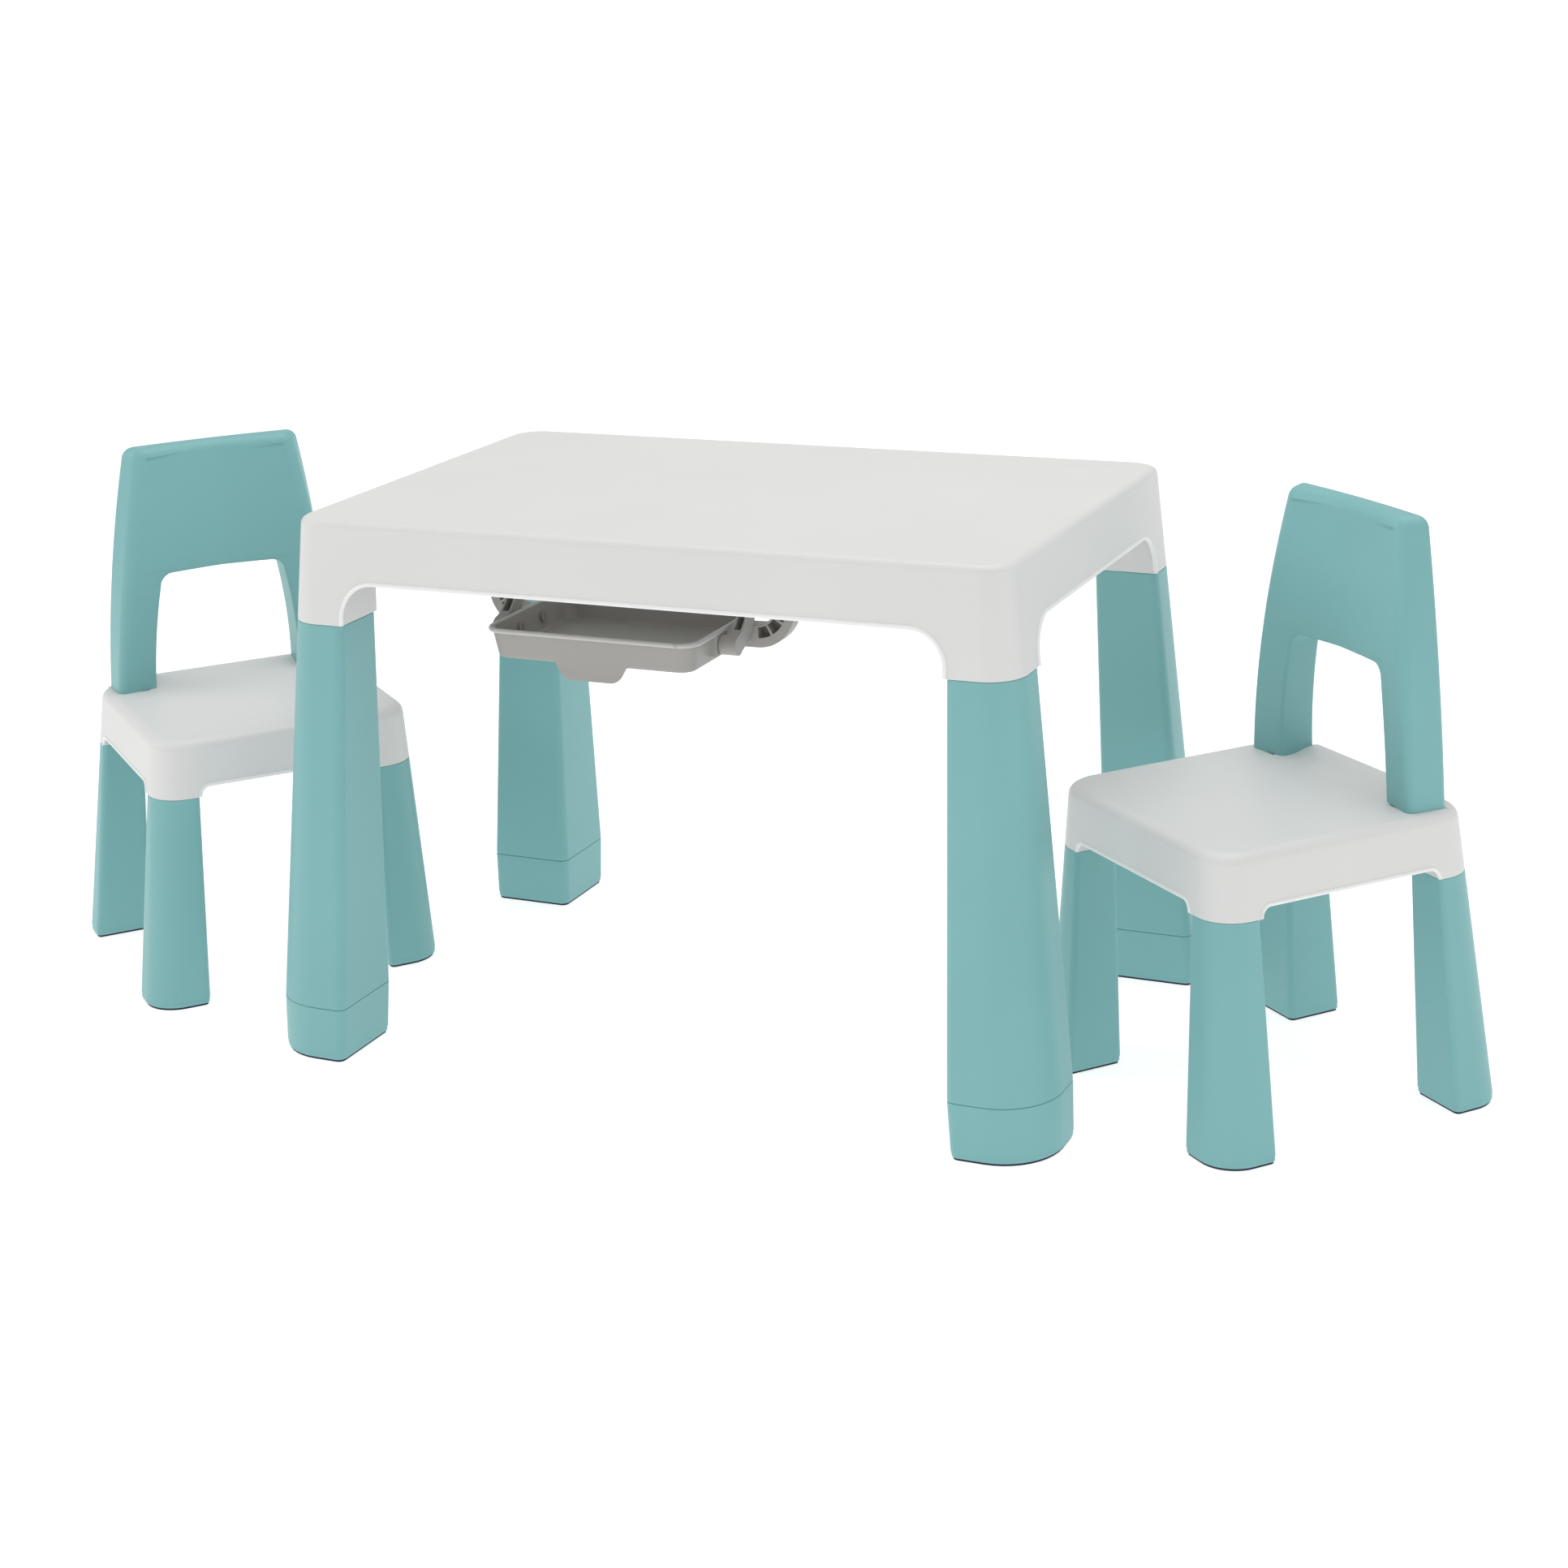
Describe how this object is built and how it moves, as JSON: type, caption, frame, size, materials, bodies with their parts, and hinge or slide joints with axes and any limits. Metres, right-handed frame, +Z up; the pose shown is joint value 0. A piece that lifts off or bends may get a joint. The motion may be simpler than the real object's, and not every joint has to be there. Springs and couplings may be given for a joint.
{
  "type": "kids table and chairs",
  "caption": "Low children's table of white and teal moulded plastic with a grey swing-down tray under the top, and two matching chairs with open backrests.",
  "frame": {"origin": "floor level, at the middle of the whole set's bounding box", "axes": "+X along the table's long side to the right, +Y away from the side the tray opens towards, +Z up"},
  "size_m": [1.4556, 0.5216, 0.508],
  "materials": {
    "white_shell": "fine satin moulded polypropylene",
    "teal_shell": "fine satin moulded polypropylene",
    "grey_plastic": "satin moulded plastic",
    "dark_rubber": "soft anti-slip rubber"
  },
  "bodies": {
    "table": {"tabletop": "white_shell", "leg_front_left": "teal_shell", "leg_front_right": "teal_shell", "leg_back_left": "teal_shell", "leg_back_right": "teal_shell", "extension_front_left": "teal_shell", "extension_front_right": "teal_shell", "extension_back_left": "teal_shell", "extension_back_right": "teal_shell", "pad_front_left": "dark_rubber", "pad_front_right": "dark_rubber", "pad_back_left": "dark_rubber", "pad_back_right": "dark_rubber", "tray_bracket_left": "grey_plastic", "tray_bracket_right": "grey_plastic", "bracket_pins": "grey_plastic"},
    "front_arms": {"front_arm_left": "grey_plastic", "front_arm_right": "grey_plastic"},
    "rear_arms": {"rear_arm_left": "grey_plastic", "rear_arm_right": "grey_plastic"},
    "tray_body": {"tray": "grey_plastic"},
    "left_chair": {"left_chair_seat": "white_shell", "left_chair_backrest": "teal_shell", "left_chair_leg_front_left": "teal_shell", "left_chair_leg_front_right": "teal_shell", "left_chair_leg_back_left": "teal_shell", "left_chair_leg_back_right": "teal_shell", "left_chair_pad_front_left": "dark_rubber", "left_chair_pad_front_right": "dark_rubber", "left_chair_pad_back_left": "dark_rubber", "left_chair_pad_back_right": "dark_rubber"},
    "right_chair": {"right_chair_seat": "white_shell", "right_chair_backrest": "teal_shell", "right_chair_leg_front_left": "teal_shell", "right_chair_leg_front_right": "teal_shell", "right_chair_leg_back_left": "teal_shell", "right_chair_leg_back_right": "teal_shell", "right_chair_pad_front_left": "dark_rubber", "right_chair_pad_front_right": "dark_rubber", "right_chair_pad_back_left": "dark_rubber", "right_chair_pad_back_right": "dark_rubber"}
  },
  "joints": [
    {"name": "tray_swing", "type": "hinge", "parent": "table", "child": "front_arms", "pos_m": [-0.04044, -0.131, 0.477], "axis": [1, 0, 0], "range_deg": [-8, 45]},
    {"name": "tray_level", "type": "hinge", "parent": "front_arms", "child": "tray_body", "pos_m": [-0.04044, -0.131, 0.387], "axis": [1, 0, 0], "range_deg": [-45, 8]},
    {"name": "rear_arm_swing", "type": "hinge", "parent": "table", "child": "rear_arms", "pos_m": [-0.04044, -0.088, 0.477], "axis": [1, 0, 0], "range_deg": [-8, 45]},
    {"name": "left_chair_slide", "type": "slide", "parent": "table", "child": "left_chair", "axis": [-0.766, 0.6428, 0], "range_m": [0, 0.35]},
    {"name": "right_chair_slide", "type": "slide", "parent": "table", "child": "right_chair", "axis": [0.6428, 0.766, 0], "range_m": [0, 0.35]}
  ],
  "couplings": [
    {"joint": "tray_level", "follows": "tray_swing", "ratio": -1},
    {"joint": "rear_arm_swing", "follows": "tray_swing", "ratio": 1}
  ]
}
